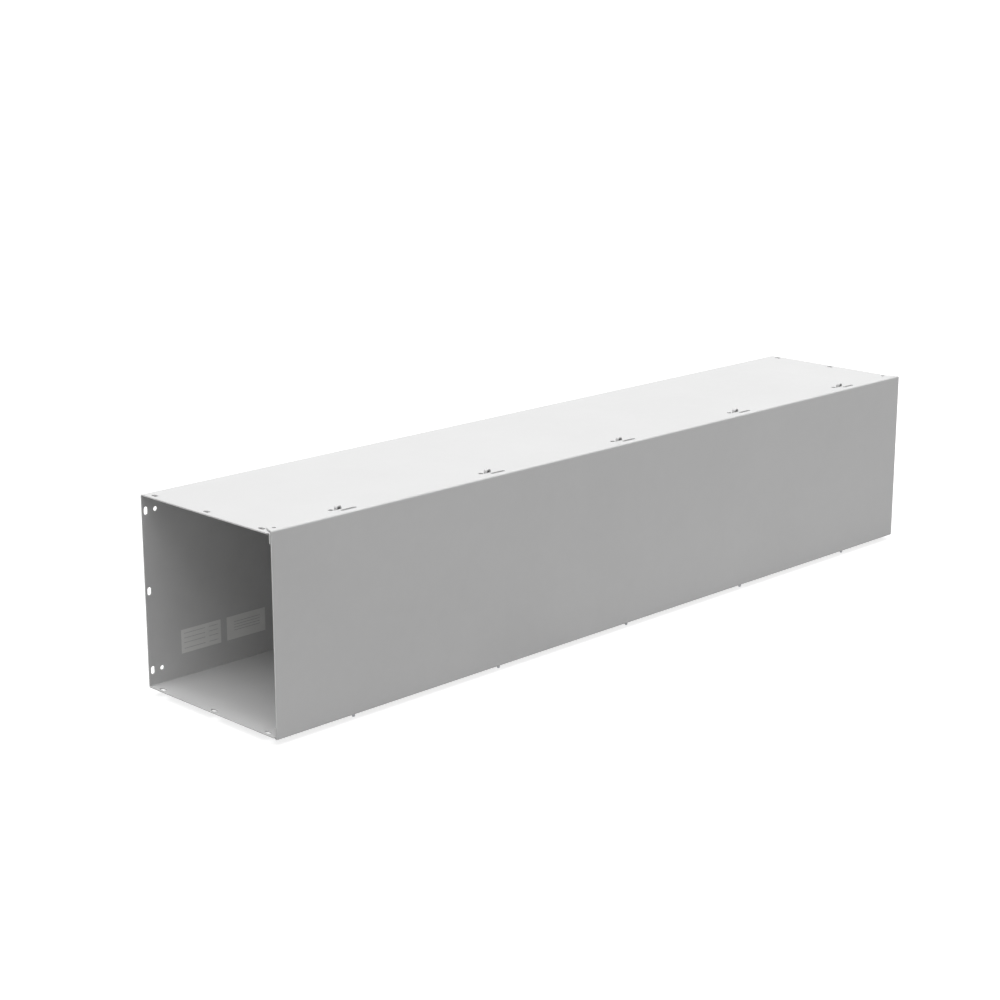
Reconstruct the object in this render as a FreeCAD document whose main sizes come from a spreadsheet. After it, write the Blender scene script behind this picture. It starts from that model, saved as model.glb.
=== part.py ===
import FreeCAD, Part
import os
import re

from FreeCAD import Rotation, Vector

# Hinged cover wireway: a folded sheet trough, open at both ends, with a cover that hangs by five
# tabs in five hoods along its top front edge and is held along its bottom front edge by five studs
# with nuts. X runs along the wireway, the cover faces -Y and Z is up. The origin lies under the
# middle of the wireway, level with the tips of the studs.

# Driving dimensions in millimetres
SIZES = {
    # folded sheet
    "length": 1524.0,
    "depth": 304.5,
    "height": 305.6,
    "sheet_metal": 1.9,
    "bend_inside": 0.8,
    "lip_height": 15.9,
    "lip_setback": 2.5,
    # cover around the trough
    "flange_depth": 20.4,
    "flange_gap": 1.25,
    "face_gap": 0.3,
    "end_setback": 3.5,
    "mitre_run": 7.4,
    "flange_hole": 6.0,
    "flange_hole_inset": 18.0,
    "flange_hole_back": 11.7,
    # hinge stations
    "station_inset": 152.4,
    "bar_width": 3.2,
    "hinge_slot_width": 6.4,
    "hinge_slot_length": 29.3,
    "hinge_slot_left": 8.5,
    "hood_left": 4.0,
    "hood_width": 9.2,
    "hood_height": 7.7,
    "hood_depth": 7.8,
    "hood_round": 3.4,
    "hood_gap": 3.4,
    "tab_width": 3.8,
    "tab_length": 5.6,
    "tab_drop": 0.9,
    "tab_hole_front": 3.2,
    "pilot_hole": 8.0,
    "pilot_left": 10.6,
    "pilot_back": 34.5,
    # studs and nuts
    "stud_diameter": 4.8,
    "stud_length": 12.6,
    "stud_chamfer": 0.7,
    "stud_right": 8.0,
    "stud_back": 14.8,
    "stud_gap": 0.5,
    "nut_flats": 9.5,
    "nut_height": 3.2,
    "nut_gap": 0.3,
    "thread_gap": 0.1,
    # joining slots at both ends, and wall holes in the back
    "joint_slot_width": 7.1,
    "joint_slot_length": 12.7,
    "joint_slot_inset": 7.1,
    "joint_row_inset": 26.6,
    "joint_row_front": 25.0,
    "top_slot_inset": 10.2,
    "top_row_inset": 22.6,
    "top_row_front": 29.2,
    "wall_hole": 7.1,
    "wall_hole_inset": 24.4,
    # labels on the inside of the back
    "label_width": 76.2,
    "label_height": 38.1,
    "label_thickness": 0.2,
    "label_inset": 62.0,
    "label_pitch": 88.2,
    "label_level": 39.5,
}

STATIONS = 5
NUMBERS = range(1, STATIONS + 1)
LABELS = ("label_left", "label_right")
BEND_INSIDE_SIZE = SIZES["bend_inside"]
BEND_OUTSIDE_SIZE = SIZES["bend_inside"] + SIZES["sheet_metal"]
HOOD_INSIDE_ROUND = SIZES["hood_round"] - SIZES["sheet_metal"]
BOTH = (-1, 1)

# Places that several pieces share, as formulas of the driving dimensions
LEFT_END = "(0 - length / 2)"
RIGHT_END = "(length / 2)"
COVER_FACE = "(0 - depth / 2)"
LIP_FACE = f"({COVER_FACE} + sheet_metal + face_gap)"
BACK_FACE = "(depth / 2)"
UNDERSIDE = "stud_length"
TOP_FACE = "(stud_length + height)"
FLANGE_STEP = "(flange_gap + sheet_metal)"
FLANGE_EDGE = f"({COVER_FACE} + flange_depth)"
FLANGE_LOW = f"({TOP_FACE} + flange_gap)"
HOOD_MOUTH = f"({FLANGE_EDGE} + hood_gap)"
BEND_OUTSIDE = "(bend_inside + sheet_metal)"

# How far a cutting shape stands out past the sheet it cuts, and its span through one sheet
BEYOND = "sheet_metal"
THROUGH = f"(sheet_metal + 2 * {BEYOND})"

document = FreeCAD.newDocument("hinged_cover_wireway")
sheet = document.addObject("Spreadsheet::Sheet", "Sizes")
for row, (alias, number) in enumerate(SIZES.items(), start=1):
    sheet.set(f"A{row}", alias)
    sheet.set(f"B{row}", str(number))
    sheet.setAlias(f"B{row}", alias)
document.recompute()


def in_sheet(formula):
    """Point each driving dimension named in a formula at its cell."""
    return re.sub(r"[a-z_]+", lambda word: f"Sizes.{word[0]}" if word[0] in SIZES else word[0], formula)


def bind(feature, **formulas):
    """Bind properties of a feature to formulas of the driving dimensions."""
    for name, formula in formulas.items():
        feature.setExpression(name, in_sheet(formula))


def move(feature, place):
    """Bind the place of a feature to three formulas."""
    for axis, formula in zip("xyz", place):
        feature.setExpression(f"Placement.Base.{axis}", in_sheet(formula))


def box(name, low, high):
    """A block between two opposite corners."""
    feature = document.addObject("Part::Box", name)
    spans = [f"{top} - ({bottom})" for bottom, top in zip(low, high)]
    bind(feature, Length=spans[0], Width=spans[1], Height=spans[2])
    move(feature, low)
    return feature


TURNS = {
    "X": Rotation(Vector(0, 1, 0), 90),
    "Y": Rotation(Vector(1, 0, 0), -90),
    "Z": Rotation(),
}


def rod(name, start, axis, diameter, span):
    """A round bar from its start along an axis."""
    feature = document.addObject("Part::Cylinder", name)
    feature.Placement.Rotation = TURNS[axis]
    bind(feature, Radius=f"({diameter}) / 2", Height=span)
    move(feature, start)
    return feature


def join(name, pieces):
    feature = document.addObject("Part::MultiFuse", name)
    feature.Shapes = pieces
    feature.Refine = True
    return feature


def gather(name, pieces):
    feature = document.addObject("Part::Compound", name)
    feature.Links = pieces
    return feature


def cut(name, base, tools):
    feature = document.addObject("Part::Cut", name)
    feature.Base = base
    feature.Tool = gather(f"{name}_cuts", tools)
    feature.Refine = True
    return feature


def rounded(name, block, radius, sides, levels):
    """Round those edges of a block that run along X, on the given sides (-1 front, 1 back) and
    levels (-1 low, 1 high)."""
    document.recompute()
    middle = block.Shape.BoundBox.Center
    edges = []
    for number, edge in enumerate(block.Shape.Edges, start=1):
        from_middle = edge.CenterOfMass - middle
        run = edge.tangentAt(edge.FirstParameter)
        along_x = abs(run.x) > abs(run.y) + abs(run.z)
        side = 1 if from_middle.y > 0 else -1
        level = 1 if from_middle.z > 0 else -1
        if along_x and side in sides and level in levels:
            edges.append((number, radius, radius))
    feature = document.addObject("Part::Fillet", name)
    feature.Base = block
    feature.Edges = edges
    return feature


def domed(name, block, radius):
    """Round every edge of a block but those of its front and its underside."""
    document.recompute()
    bounds = block.Shape.BoundBox
    edges = []
    for number, edge in enumerate(block.Shape.Edges, start=1):
        behind = edge.CenterOfMass.y - bounds.YMin
        above = edge.CenterOfMass.z - bounds.ZMin
        if behind > bounds.YLength / 4 and above > bounds.ZLength / 4:
            edges.append((number, radius, radius))
    feature = document.addObject("Part::Fillet", name)
    feature.Base = block
    feature.Edges = edges
    return feature


def long_hole(name, centre, along, through, length, width, span):
    """An oblong hole's tool: its long axis is Y or Z or X, and it runs from its centre through
    the sheet along another axis."""
    half_run = f"(({length}) - ({width})) / 2"
    low = list(centre)
    high = list(centre)
    ends = [list(centre), list(centre)]
    for place, axis in enumerate("XYZ"):
        if axis == along:
            low[place] = f"{centre[place]} - {half_run}"
            high[place] = f"{centre[place]} + {half_run}"
            ends[0][place] = low[place]
            ends[1][place] = high[place]
        elif axis == through:
            high[place] = f"{centre[place]} + {span}"
        else:
            low[place] = f"{centre[place]} - ({width}) / 2"
            high[place] = f"{centre[place]} + ({width}) / 2"
    pieces = [box(f"{name}_middle", low, high)]
    for end, start in zip("ab", ends):
        pieces.append(rod(f"{name}_end_{end}", start, through, width, span))
    return join(name, pieces)


def both_ends(inset):
    """X of a place set in by the same distance from either end."""
    return (("left", f"{LEFT_END} + {inset}"), ("right", f"{RIGHT_END} - {inset}"))


def station_x(number):
    """X of a hinge station, counted from 1 at the left."""
    pitch = f"(length - 2 * station_inset) / {STATIONS - 1}"
    return f"({LEFT_END} + station_inset + {number - 1} * {pitch})"


def hood_x(number):
    return f"({station_x(number)} - hood_left)"


def stud_x(number):
    return f"({station_x(number)} + stud_right)"


# Trough: back, top and bottom panels with a lip turned in along the front of the top and bottom

def trough_fold():
    outside = box("trough_outside", (LEFT_END, LIP_FACE, UNDERSIDE), (RIGHT_END, BACK_FACE, TOP_FACE))
    inside = box(
        "trough_inside",
        (f"{LEFT_END} - {BEYOND}", f"{LIP_FACE} + sheet_metal", f"{UNDERSIDE} + sheet_metal"),
        (f"{RIGHT_END} + {BEYOND}", f"{BACK_FACE} - sheet_metal", f"{TOP_FACE} - sheet_metal"))
    mouth = box(
        "trough_mouth",
        (f"{LEFT_END} - {BEYOND}", f"{LIP_FACE} - {BEYOND}", f"{UNDERSIDE} + lip_height"),
        (f"{RIGHT_END} + {BEYOND}", f"{LIP_FACE} + sheet_metal + {BEYOND}", f"{TOP_FACE} - lip_height"))
    outside_bent = rounded("trough_outside_bent", outside, BEND_OUTSIDE_SIZE, BOTH, BOTH)
    inside_bent = rounded("trough_inside_bent", inside, BEND_INSIDE_SIZE, BOTH, BOTH)
    return outside_bent, [inside_bent, mouth]


def joint_slots():
    """Oblong holes at both ends: rows of three in the back, the bottom and the top. Those of the top
    lie a little further in."""
    tools = []
    low_row = f"{UNDERSIDE} + joint_row_inset"
    high_row = f"{TOP_FACE} - joint_row_inset"
    back_rows = (low_row, f"{UNDERSIDE} + height / 2", high_row)
    back_start = f"{BACK_FACE} - sheet_metal - {BEYOND}"
    for end, x in both_ends("joint_slot_inset"):
        for row, z in enumerate(back_rows, start=1):
            tools.append(long_hole(
                f"back_slot_{end}_{row}", (x, back_start, z), "Z", "Y",
                "joint_slot_length", "joint_slot_width", THROUGH))
    panels = (
        ("bottom", f"{UNDERSIDE} - {BEYOND}", "joint_slot_inset", "joint_row_front", "joint_row_inset"),
        ("top", f"{TOP_FACE} - sheet_metal - {BEYOND}", "top_slot_inset", "top_row_front", "top_row_inset"))
    for panel, start, inset, front, rear in panels:
        front_row = f"({COVER_FACE} + {front})"
        rear_row = f"({BACK_FACE} - {rear})"
        rows = (front_row, f"({front_row} + {rear_row}) / 2", rear_row)
        for end, x in both_ends(inset):
            for row, y in enumerate(rows, start=1):
                tools.append(long_hole(
                    f"{panel}_slot_{end}_{row}", (x, y, start), "Y", "Z",
                    "joint_slot_length", "joint_slot_width", THROUGH))
    return tools


def wall_holes():
    tools = []
    start = f"{BACK_FACE} - sheet_metal - {BEYOND}"
    levels = (("low", f"{UNDERSIDE} + joint_row_inset"), ("high", f"{TOP_FACE} - joint_row_inset"))
    for end, x in both_ends("wall_hole_inset"):
        for level, z in levels:
            tools.append(rod(f"wall_hole_{end}_{level}", (x, start, z), "Y", "wall_hole", THROUGH))
    return tools


def hood_outside(number):
    """A hood pressed up out of the top panel behind the cover's flange, rounded but for its mouth."""
    block = box(
        f"hood_block_{number}",
        (f"{hood_x(number)} - hood_width / 2", HOOD_MOUTH, f"{TOP_FACE} - sheet_metal / 2"),
        (f"{hood_x(number)} + hood_width / 2", f"{HOOD_MOUTH} + hood_depth", f"{TOP_FACE} + hood_height"))
    return domed(f"hood_{number}", block, SIZES["hood_round"])


def hood_inside(number):
    """The hollow of a hood, open below and running forward under the flange's edge, so that the
    cover's tab can turn down into it."""
    half_width = "(hood_width / 2 - sheet_metal)"
    front = f"{FLANGE_EDGE} - tab_hole_front"
    rear = f"{HOOD_MOUTH} + hood_depth - sheet_metal"
    block = box(
        f"hood_hollow_block_{number}",
        (f"{hood_x(number)} - {half_width}", front, f"{TOP_FACE} - sheet_metal - {BEYOND}"),
        (f"{hood_x(number)} + {half_width}", rear, f"{TOP_FACE} + hood_height - sheet_metal"))
    return domed(f"hood_hollow_{number}", block, HOOD_INSIDE_ROUND)


def pilot_hole(number):
    """A round hole in the top panel beside the rear of a hood."""
    place = (
        f"{station_x(number)} - pilot_left", f"{COVER_FACE} + pilot_back",
        f"{TOP_FACE} - sheet_metal - {BEYOND}")
    return rod(f"pilot_hole_{number}", place, "Z", "pilot_hole", THROUGH)


def lip_end(end, start, stop):
    """A block that cuts both lips short at one end, together with the bends that carry them."""
    return box(
        f"lip_end_{end}",
        (start, f"{LIP_FACE} - {BEYOND}", f"{UNDERSIDE} - {BEYOND}"),
        (stop, f"{LIP_FACE} + {BEND_OUTSIDE}", f"{TOP_FACE} + {BEYOND}"))


def make_trough():
    blank, tools = trough_fold()
    tools += joint_slots()
    tools += wall_holes()
    tools += [pilot_hole(number) for number in NUMBERS]
    folded = cut("trough_folded", blank, tools)
    pressed = join("trough_pressed", [folded] + [hood_outside(number) for number in NUMBERS])
    lip_ends = [
        lip_end("left", f"{LEFT_END} - {BEYOND}", f"{LEFT_END} + lip_setback"),
        lip_end("right", f"{RIGHT_END} - lip_setback", f"{RIGHT_END} + {BEYOND}")]
    return cut("trough", pressed, lip_ends + [hood_inside(number) for number in NUMBERS])


# Cover: a flat face with a flange along its top and its bottom, over the outside of the trough

def cover_fold():
    left_end = f"{LEFT_END} + end_setback"
    right_end = f"{RIGHT_END} - end_setback"
    low = f"{UNDERSIDE} - {FLANGE_STEP}"
    high = f"{TOP_FACE} + {FLANGE_STEP}"
    outside = box("cover_outside", (left_end, COVER_FACE, low), (right_end, FLANGE_EDGE, high))
    inside = box(
        "cover_inside",
        (f"{left_end} - {BEYOND}", f"{COVER_FACE} + sheet_metal", f"{low} + sheet_metal"),
        (f"{right_end} + {BEYOND}", f"{FLANGE_EDGE} + {BEYOND}", f"{high} - sheet_metal"))
    outside_bent = rounded("cover_outside_bent", outside, BEND_OUTSIDE_SIZE, (-1,), BOTH)
    inside_bent = rounded("cover_inside_bent", inside, BEND_INSIDE_SIZE, (-1,), BOTH)
    return outside_bent, [inside_bent]


def hinge_slot(number):
    """Slot in the top flange in front of a hood; it leaves a narrow bar along the flange's edge."""
    centre = (
        f"{station_x(number)} - hinge_slot_left + hinge_slot_length / 2",
        f"{FLANGE_EDGE} - bar_width - hinge_slot_width / 2",
        f"{FLANGE_LOW} - {BEYOND}")
    return long_hole(
        f"hinge_slot_{number}", centre, "X", "Z", "hinge_slot_length", "hinge_slot_width", THROUGH)


def hinge_tab(number):
    """Tab on the rear edge of the top flange, set down a little, that reaches in under a hood."""
    low = f"({FLANGE_LOW} - tab_drop)"
    return box(
        f"hinge_tab_{number}",
        (f"{hood_x(number)} - tab_width / 2", f"{FLANGE_EDGE} - bar_width / 2", low),
        (f"{hood_x(number)} + tab_width / 2", f"{FLANGE_EDGE} + tab_length", f"{low} + sheet_metal"))


def stud_notch(number):
    """Notch in the bottom flange, open to its rear edge, that lets go of a stud."""
    width = "(stud_diameter + 2 * stud_gap)"
    y = f"{COVER_FACE} + stud_back"
    low = f"{UNDERSIDE} - {FLANGE_STEP} - {BEYOND}"
    end = rod(f"stud_notch_end_{number}", (stud_x(number), y, low), "Z", width, THROUGH)
    run = box(
        f"stud_notch_run_{number}",
        (f"{stud_x(number)} - {width} / 2", y, low),
        (f"{stud_x(number)} + {width} / 2", f"{FLANGE_EDGE} + {BEYOND}", f"{low} + {THROUGH}"))
    return join(f"stud_notch_{number}", [end, run])


def flange_hole():
    """A small round hole in the top flange near its left end."""
    place = (
        f"{LEFT_END} + flange_hole_inset", f"{COVER_FACE} + flange_hole_back", f"{FLANGE_LOW} - {BEYOND}")
    return rod("flange_hole", place, "Z", "flange_hole", THROUGH)


def end_mitre(end, direction):
    """A wedge that slants the ends of both flanges, so that they clear the joining slots."""
    wedge = document.addObject("Part::Wedge", f"end_mitre_{end}")
    cover_end = f"({direction} * (length / 2 - end_setback))"
    outer = f"{cover_end} + {direction} * {BEYOND}"
    inner = f"{cover_end} - {direction} * mitre_run"
    near = [cover_end, outer] if direction > 0 else [outer, cover_end]
    far = [inner, outer] if direction > 0 else [outer, inner]
    low = f"{UNDERSIDE} - {FLANGE_STEP} - {BEYOND}"
    high = f"{TOP_FACE} + {FLANGE_STEP} + {BEYOND}"
    bind(wedge, Xmin=near[0], Xmax=near[1], X2min=far[0], X2max=far[1])
    bind(wedge, Ymin=f"{COVER_FACE} + {BEND_OUTSIDE}", Ymax=FLANGE_EDGE)
    bind(wedge, Zmin=low, Zmax=high, Z2min=low, Z2max=high)
    return wedge


def make_cover():
    blank, tools = cover_fold()
    tools += [hinge_slot(number) for number in NUMBERS]
    tools += [stud_notch(number) for number in NUMBERS]
    tools.append(flange_hole())
    tools += [end_mitre("left", -1), end_mitre("right", 1)]
    folded = cut("cover_folded", blank, tools)
    return join("cover", [folded] + [hinge_tab(number) for number in NUMBERS])


# Studs welded under the trough, and the nuts that hold the cover's bottom flange

def make_stud(number):
    place = (stud_x(number), f"{COVER_FACE} + stud_back", "0")
    shank = rod(f"stud_shank_{number}", place, "Z", "stud_diameter", "stud_length")
    document.recompute()
    lowest = shank.Shape.BoundBox.ZMin
    chamfer = document.addObject("Part::Chamfer", f"cover_stud_{number}")
    chamfer.Base = shank
    size = SIZES["stud_chamfer"]
    chamfer.Edges = [
        (index, size, size) for index, edge in enumerate(shank.Shape.Edges, start=1)
        if edge.Closed and abs(edge.CenterOfMass.z - lowest) < size / 2]
    return chamfer


def make_nut(number):
    y = f"{COVER_FACE} + stud_back"
    low = f"{UNDERSIDE} - {FLANGE_STEP} - nut_gap - nut_height"
    hexagon = document.addObject("Part::Prism", f"nut_hexagon_{number}")
    hexagon.Polygon = 6
    bind(hexagon, Circumradius="nut_flats / sqrt(3)", Height="nut_height")
    move(hexagon, (stud_x(number), y, low))
    corners = document.addObject("Part::Cone", f"nut_corners_{number}")
    bind(corners, Radius1="nut_flats / 2", Height="nut_height")
    bind(corners, Radius2="nut_flats / 2 + nut_height * sqrt(3)")
    move(corners, (stud_x(number), y, low))
    blank = document.addObject("Part::Common", f"nut_blank_{number}")
    blank.Base = hexagon
    blank.Tool = corners
    bore = rod(
        f"nut_bore_{number}", (stud_x(number), y, f"{low} - nut_gap"), "Z",
        "stud_diameter + 2 * thread_gap", "nut_height + 2 * nut_gap")
    return cut(f"cover_nut_{number}", blank, [bore])


# Labels stuck on the inside of the back panel

def make_label(place, name):
    left = f"({LEFT_END} + label_inset + {place} * label_pitch)"
    low = (left, f"{BACK_FACE} - sheet_metal - label_thickness", f"{UNDERSIDE} + label_level")
    high = (f"{left} + label_width", f"{BACK_FACE} - sheet_metal", f"{low[2]} + label_height")
    return box(name, low, high)


def check(piece):
    shape = piece.Shape
    if shape.isNull() or not shape.isValid() or len(shape.Solids) != 1:
        raise RuntimeError(f"{piece.Label} is not one sound solid")


def main():
    pieces = [make_trough(), make_cover()]
    for number in NUMBERS:
        pieces.append(make_stud(number))
        pieces.append(make_nut(number))
    for place, name in enumerate(LABELS):
        pieces.append(make_label(place, name))
    document.recompute()
    for feature in document.Objects:
        if "Invalid" in feature.State or "Error" in feature.State:
            raise RuntimeError(f"{feature.Label} failed: {feature.State}")
    for piece in pieces:
        check(piece)
    os.makedirs("parts", exist_ok=True)
    for piece in pieces:
        piece.Shape.exportStep(os.path.join("parts", f"{piece.Label}.step"))
        print(piece.Label, round(piece.Shape.Volume, 1))


main()
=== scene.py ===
import math

import bmesh
import bpy
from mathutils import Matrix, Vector


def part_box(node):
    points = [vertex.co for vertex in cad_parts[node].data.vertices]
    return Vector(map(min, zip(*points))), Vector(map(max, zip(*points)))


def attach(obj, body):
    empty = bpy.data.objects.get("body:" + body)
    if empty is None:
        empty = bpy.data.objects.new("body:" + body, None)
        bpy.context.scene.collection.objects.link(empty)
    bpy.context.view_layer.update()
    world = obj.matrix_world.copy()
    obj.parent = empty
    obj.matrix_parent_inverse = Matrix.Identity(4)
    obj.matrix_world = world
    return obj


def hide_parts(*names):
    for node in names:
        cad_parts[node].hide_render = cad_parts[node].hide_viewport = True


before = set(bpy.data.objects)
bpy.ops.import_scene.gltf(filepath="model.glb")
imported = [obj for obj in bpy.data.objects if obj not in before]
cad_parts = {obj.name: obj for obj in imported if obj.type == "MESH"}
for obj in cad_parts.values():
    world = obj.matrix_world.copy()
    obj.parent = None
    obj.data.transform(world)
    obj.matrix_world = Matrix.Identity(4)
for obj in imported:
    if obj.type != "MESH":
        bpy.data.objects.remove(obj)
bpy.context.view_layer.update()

MM = 0.001

# Camera, as the photograph was taken
CAMERA_PLACE = (-2.5031, -2.34745, 1.1127)
CAMERA_TURN = (75.0, 0.0, -45.0)
SENSOR_WIDTH = 36.0
LENS = 74.88
FARTHEST_SEEN = 200.0

# Lamps: the direction towards each, its strength and its spread in degrees
LAMPS = {
    "key": (Vector((-0.20, -0.12, 0.97)), 3.4, 70.0),
    "overhead": (Vector((0.0, -0.02, 1.0)), 1.0, 20.0),
    "open_end": (Vector((-0.88, -0.40, 0.25)), 0.42, 40.0),
}

# Strength of the surround, and the floor: half its side, its grey and the white added where it shows
SURROUND = 0.20
FLOOR_HALF = 80.0
FLOOR_BOUNCE = 0.36
FLOOR_WHITE = 0.80

# Powder coat: colour, its darkest and lightest shade, roughness, relief and noise scales per metre
PAINT = (0.50, 0.50, 0.50)
PAINT_SHADES = (0.965, 1.035)
PAINT_ROUGH = (0.40, 0.54)
PAINT_PEEL_RELIEF = 0.08 * MM
PAINT_CLOUDS = 5.0
PAINT_PATCHES = 42.0
PAINT_PEEL = 620.0
PAINT_GRAIN = 1900.0

# Cut edges lighter than the face, partly thin paint, partly a painted highlight; the lean is the cosine
# at which an edge begins and at which it is full
WORN_AND_HIGHLIGHT_REACH = 1.1 * MM
WORN_AND_HIGHLIGHT_SHADE = 1.22
WORN_AND_HIGHLIGHT_SHARE = (0.15, 0.55)
EDGE_LEAN = (0.97, 0.75)

# Zinc plate
ZINC = (0.62, 0.63, 0.65)
ZINC_SHADES = (0.86, 1.08)
ZINC_ROUGH = (0.26, 0.46)
ZINC_CLOUDS = 260.0
ZINC_SPOTS = 2600.0

# Label film, and the ink of its ruled lines with the share of it that shows
FILM = (0.70, 0.70, 0.685)
FILM_SHADES = (0.94, 1.04)
FILM_ROUGH = (0.42, 0.58)
FILM_CLOUDS = 60.0
FILM_FIBRES = 900.0
PRINT = (0.40, 0.40, 0.41)
PRINT_SHARE = (0.55, 0.90)

# Relief of the finest unevenness in every finish
FINE_RELIEF = 0.02 * MM

# Blank rows and columns ruled on each label, and the height of a line, as shares of its face
RULED_LINE = 0.025
RULED = {
    "label_left": {"rows": (0.18, 0.42, 0.62, 0.82), "columns": ((0.07, 0.60), (0.70, 0.93))},
    "label_right": {"rows": (0.36, 0.48, 0.60, 0.72), "columns": ((0.18, 0.86),)},
}

# Stud threads; the flat is the share of half a pitch that crest and root each take
THREAD_PITCH = 0.8 * MM
THREAD_DEPTH = 0.42 * MM
THREAD_FLAT = 0.1
STUD_POINT = 0.7 * MM
ROWS_A_TURN = 8
THREAD_SIDES = 32

# Sockets of a colour mix, which share their names with those of other kinds of mix
MIX_SHARE = 0
MIX_LOW = 6
MIX_HIGH = 7
MIX_RESULT = 2


# Node helpers

def add(tree, kind, inputs=None, **settings):
    """A node with its settings and its inputs, which are values or other nodes' sockets."""
    node = tree.nodes.new(kind)
    for name, value in settings.items():
        setattr(node, name, value)
    for name, value in (inputs or {}).items():
        if isinstance(value, bpy.types.NodeSocket):
            tree.links.new(value, node.inputs[name])
        else:
            node.inputs[name].default_value = value
    return node


def maths(tree, operation, first, second):
    return add(tree, "ShaderNodeMath", {0: first, 1: second}, operation=operation).outputs[0]


def spread(tree, value, span, to=(0.0, 1.0)):
    """A value carried from one span to another and kept inside it."""
    node = add(tree, "ShaderNodeMapRange", {
        "Value": value, "From Min": span[0], "From Max": span[1], "To Min": to[0], "To Max": to[1]})
    return node.outputs["Result"]


def within(tree, value, low, high):
    """1 between two limits, 0 outside."""
    above = maths(tree, "GREATER_THAN", value, low)
    return maths(tree, "MULTIPLY", above, maths(tree, "LESS_THAN", value, high))


def noise(tree, place, scale, detail=2.0, rough=0.5):
    node = add(tree, "ShaderNodeTexNoise", {
        "Vector": place, "Scale": scale, "Detail": detail, "Roughness": rough})
    return node.outputs["Fac"]


def weighted_sum(tree, parts):
    """Several values added up, each with its own weight."""
    total = None
    for value, weight in parts:
        share = maths(tree, "MULTIPLY", value, weight)
        total = share if total is None else maths(tree, "ADD", total, share)
    return total


def shade(colour, factor):
    return tuple(part * factor for part in colour)


def colour_input(colour):
    return colour if isinstance(colour, bpy.types.NodeSocket) else (*colour, 1.0)


def blend_colour(tree, share, low, high):
    inputs = {MIX_SHARE: share, MIX_LOW: colour_input(low), MIX_HIGH: colour_input(high)}
    return add(tree, "ShaderNodeMix", inputs, data_type="RGBA").outputs[MIX_RESULT]


def blend_shades(tree, share, colour, shades):
    """A colour that runs from its darkest to its lightest shade."""
    darkest, lightest = shades
    return blend_colour(tree, share, shade(colour, darkest), shade(colour, lightest))


def bump(tree, height, relief, strength, **below):
    inputs = {"Strength": strength, "Distance": relief, "Height": height, **below}
    return add(tree, "ShaderNodeBump", inputs).outputs["Normal"]


def edge_share(tree, reach):
    """How near a point is to a sharp edge: 0 on open faces, rising towards the edge."""
    soft = add(tree, "ShaderNodeBevel", {"Radius": reach}, samples=4).outputs["Normal"]
    true = add(tree, "ShaderNodeNewGeometry").outputs["True Normal"]
    lean = add(tree, "ShaderNodeVectorMath", {0: soft, 1: true}, operation="DOT_PRODUCT").outputs["Value"]
    return spread(tree, lean, EDGE_LEAN)


def new_material(name):
    material = bpy.data.materials.new(name)
    material.use_nodes = True
    tree = material.node_tree
    shader = tree.nodes["Principled BSDF"]
    place = add(tree, "ShaderNodeTexCoord").outputs["Object"]
    return material, tree, shader, place


def wire(tree, shader, **sockets):
    for name, value in sockets.items():
        tree.links.new(value, shader.inputs[name.replace("_", " ")])


# Materials

def paint_material():
    """Satin light grey powder coat: orange peel, fine grain, faint clouding, lighter along cut edges from
    thin paint and a painted highlight.
    """
    material, tree, shader, place = new_material("grey_powder_coat")
    clouds = noise(tree, place, PAINT_CLOUDS, detail=3.0)
    patches = noise(tree, place, PAINT_PATCHES, detail=3.0, rough=0.6)
    grain = noise(tree, place, PAINT_GRAIN, detail=1.0)
    peel = noise(tree, place, PAINT_PEEL)
    tone = weighted_sum(tree, ((clouds, 0.45), (patches, 0.30), (grain, 0.25)))
    colour = blend_shades(tree, spread(tree, tone, (0.32, 0.68)), PAINT, PAINT_SHADES)
    # Lighter shade along sharp edges: partly thin paint, partly a painted highlight where edges catch the
    # light
    thin_and_highlight = spread(tree, patches, (0.35, 0.65), to=WORN_AND_HIGHLIGHT_SHARE)
    worn_and_highlight = maths(tree, "MULTIPLY", edge_share(tree, WORN_AND_HIGHLIGHT_REACH), thin_and_highlight)
    colour = blend_colour(tree, worn_and_highlight, colour, shade(PAINT, WORN_AND_HIGHLIGHT_SHADE))
    rough = spread(tree, maths(tree, "ADD", patches, grain), (0.7, 1.3), to=PAINT_ROUGH)
    fine = bump(tree, grain, FINE_RELIEF, strength=0.35)
    normal = bump(tree, peel, PAINT_PEEL_RELIEF, strength=0.5, Normal=fine)
    wire(tree, shader, Base_Color=colour, Roughness=rough, Normal=normal)
    return material


def zinc_material():
    """Bright zinc plate with a faint clouding and fine duller spots."""
    material, tree, shader, place = new_material("zinc_plate")
    clouds = noise(tree, place, ZINC_CLOUDS, detail=3.0)
    spots = noise(tree, place, ZINC_SPOTS)
    colour = blend_shades(tree, spread(tree, clouds, (0.3, 0.7)), ZINC, ZINC_SHADES)
    rough = spread(tree, maths(tree, "ADD", clouds, spots), (0.7, 1.3), to=ZINC_ROUGH)
    normal = bump(tree, spots, FINE_RELIEF, strength=0.25)
    shader.inputs["Metallic"].default_value = 1.0
    wire(tree, shader, Base_Color=colour, Roughness=rough, Normal=normal)
    return material


def ruled_share(tree, place, corners, rows, columns):
    """1 on the ruled lines of a label, one line under each blank row in each column, 0 between."""
    low, high = corners
    axes = add(tree, "ShaderNodeSeparateXYZ", {"Vector": place}).outputs
    across = spread(tree, axes["X"], (low.x, high.x))
    up = spread(tree, axes["Z"], (low.z, high.z))
    ruled = None
    for left, right in columns:
        for bottom in rows:
            beside = within(tree, across, left, right)
            line = maths(tree, "MULTIPLY", beside, within(tree, up, bottom, bottom + RULED_LINE))
            ruled = line if ruled is None else maths(tree, "MAXIMUM", ruled, line)
    return ruled


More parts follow.
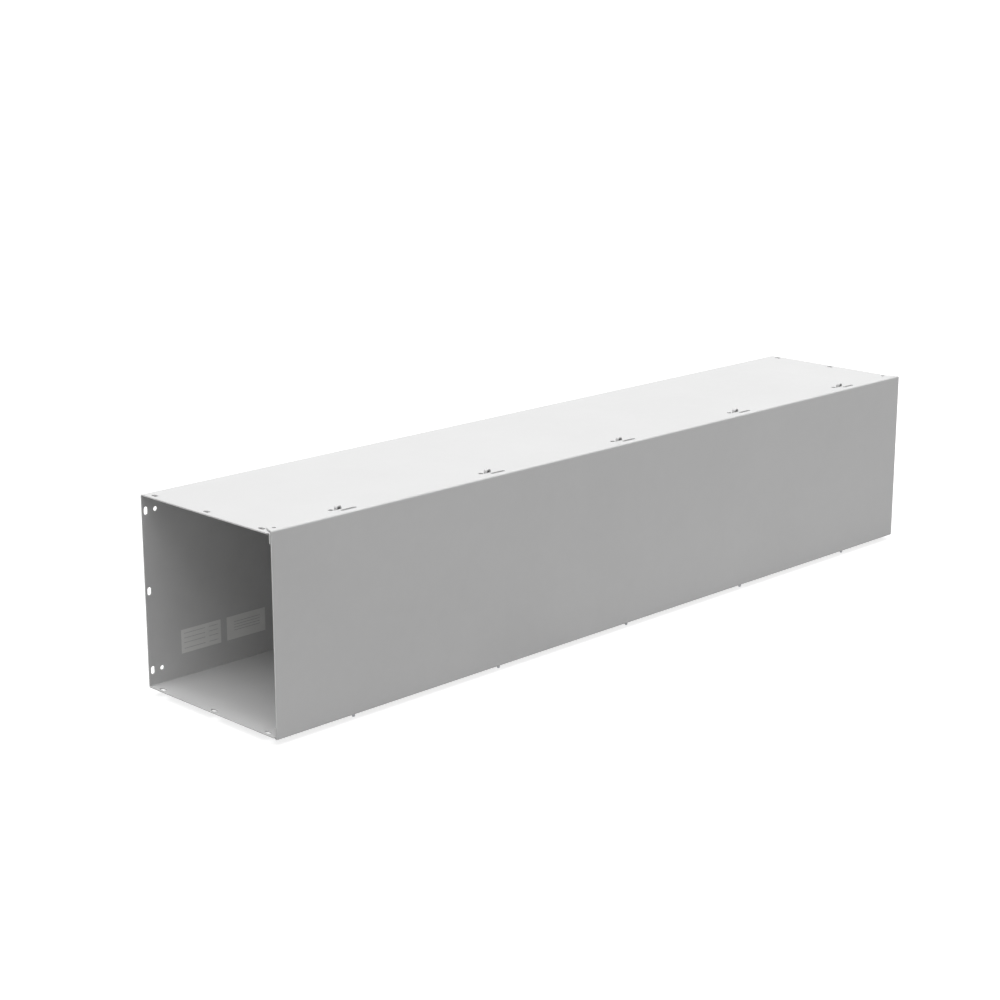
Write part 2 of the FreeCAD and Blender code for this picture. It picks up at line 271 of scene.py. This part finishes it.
def label_material(name, rows, columns):
    """Matt pale film with blank ruled rows."""
    material, tree, shader, place = new_material(f"{name}_film")
    fibres = noise(tree, place, FILM_FIBRES, detail=3.0, rough=0.6)
    clouds = noise(tree, place, FILM_CLOUDS)
    film = blend_shades(tree, clouds, FILM, FILM_SHADES)
    ruled = ruled_share(tree, place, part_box(name), rows, columns)
    ink = maths(tree, "MULTIPLY", ruled, spread(tree, fibres, (0.35, 0.6), to=PRINT_SHARE))
    colour = blend_colour(tree, ink, film, PRINT)
    rough = spread(tree, fibres, (0.3, 0.7), to=FILM_ROUGH)
    normal = bump(tree, fibres, FINE_RELIEF, strength=0.2)
    wire(tree, shader, Base_Color=colour, Roughness=rough, Normal=normal)
    return material


def dress(node, material):
    node.data.materials.clear()
    node.data.materials.append(material)


paint = paint_material()
zinc = zinc_material()
label_prints = {name: label_material(name, **ruled) for name, ruled in RULED.items()}
for name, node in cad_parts.items():
    if name in label_prints:
        dress(node, label_prints[name])
    elif name.startswith("cover_"):
        dress(node, zinc)
    else:
        dress(node, paint)


# Studs with their threads, in place of the plain shanks

def thread_radius(radius, height, turn):
    """Radius of the shank at a height above its tip and at a share of a turn round it."""
    across = abs(2.0 * ((height / THREAD_PITCH - turn) % 1.0) - 1.0)
    groove = (across - THREAD_FLAT) / (1.0 - 2.0 * THREAD_FLAT)
    groove = min(1.0, max(0.0, groove))
    pointed = radius - STUD_POINT + height
    return min(radius - THREAD_DEPTH * groove, pointed)


def thread_ring(work, foot, radius, height):
    """A ring of points round the shank at a height above the middle of its tip."""
    ring = []
    for side in range(THREAD_SIDES):
        turn = side / THREAD_SIDES
        angle = 2.0 * math.pi * turn
        reach = thread_radius(radius, height, turn)
        ring.append(work.verts.new((
            foot.x + reach * math.cos(angle), foot.y + reach * math.sin(angle), foot.z + height)))
    return ring


def threaded_stud(name):
    low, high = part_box(name)
    foot = Vector(((low.x + high.x) / 2.0, (low.y + high.y) / 2.0, low.z))
    radius = (high.x - low.x) / 2.0
    span = high.z - low.z
    rows = round(span / THREAD_PITCH * ROWS_A_TURN)
    work = bmesh.new()
    rings = [thread_ring(work, foot, radius, span * row / rows) for row in range(rows + 1)]
    for below, above in zip(rings, rings[1:]):
        for side in range(THREAD_SIDES):
            after = (side + 1) % THREAD_SIDES
            work.faces.new((below[side], below[after], above[after], above[side]))
    work.faces.new(reversed(rings[0]))
    work.faces.new(rings[-1])
    shape = bpy.data.meshes.new(f"{name}_thread")
    work.to_mesh(shape)
    work.free()
    shape.materials.append(zinc)
    stud = bpy.data.objects.new(f"{name}_thread", shape)
    bpy.context.scene.collection.objects.link(stud)
    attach(stud, "trough")
    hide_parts(name)


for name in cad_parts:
    if name.startswith("cover_stud"):
        threaded_stud(name)


# Stage, light and camera

def seen_share(tree):
    """1 for rays that show a surface in the picture, a mirror or glass, 0 for rays that light it."""
    path = add(tree, "ShaderNodeLightPath").outputs
    seen = maths(tree, "MAXIMUM", path["Is Camera Ray"], path["Is Glossy Ray"])
    return maths(tree, "MAXIMUM", seen, path["Is Transmission Ray"])


def floor_material():
    """A pale floor that shows white but for the object's shadow, and lights the object plainly."""
    material = bpy.data.materials.new("pale_floor")
    material.use_nodes = True
    tree = material.node_tree
    tree.nodes.remove(tree.nodes["Principled BSDF"])
    lit = add(tree, "ShaderNodeBsdfDiffuse", {"Color": (FLOOR_BOUNCE, FLOOR_BOUNCE, FLOOR_BOUNCE, 1.0)})
    white = add(tree, "ShaderNodeEmission", {"Strength": FLOOR_WHITE})
    both = add(tree, "ShaderNodeAddShader", {0: lit.outputs[0], 1: white.outputs[0]})
    shown = add(tree, "ShaderNodeMixShader", {0: seen_share(tree), 1: lit.outputs[0], 2: both.outputs[0]})
    tree.links.new(shown.outputs[0], tree.nodes["Material Output"].inputs["Surface"])
    return material


def make_floor():
    shape = bpy.data.meshes.new("floor")
    sides = ((-1, -1), (1, -1), (1, 1), (-1, 1))
    shape.from_pydata([(FLOOR_HALF * x, FLOOR_HALF * y, 0.0) for x, y in sides], [], [(0, 1, 2, 3)])
    shape.materials.append(floor_material())
    floor = bpy.data.objects.new("floor", shape)
    bpy.context.scene.collection.objects.link(floor)


def make_lamps():
    for name, (towards, strength, spread_degrees) in LAMPS.items():
        lamp = bpy.data.lights.new(name, "SUN")
        lamp.energy = strength
        lamp.angle = math.radians(spread_degrees)
        sun = bpy.data.objects.new(name, lamp)
        sun.rotation_euler = towards.to_track_quat("Z", "Y").to_euler()
        bpy.context.scene.collection.objects.link(sun)


def make_surround():
    world = bpy.data.worlds.new("surround")
    world.use_nodes = True
    bpy.context.scene.world = world
    tree = world.node_tree
    background = tree.nodes["Background"]
    background.inputs["Color"].default_value = (1.0, 1.0, 1.0, 1.0)
    strength = spread(tree, seen_share(tree), (0.0, 1.0), to=(SURROUND, 1.0))
    tree.links.new(strength, background.inputs["Strength"])


def make_camera():
    data = bpy.data.cameras.new("camera")
    data.sensor_fit = "HORIZONTAL"
    data.sensor_width = SENSOR_WIDTH
    data.lens = LENS
    data.clip_end = FARTHEST_SEEN
    camera = bpy.data.objects.new("camera", data)
    camera.location = CAMERA_PLACE
    camera.rotation_euler = [math.radians(turn) for turn in CAMERA_TURN]
    bpy.context.scene.collection.objects.link(camera)
    bpy.context.scene.camera = camera


make_floor()
make_lamps()
make_surround()
make_camera()
bpy.context.scene.view_settings.view_transform = "Standard"
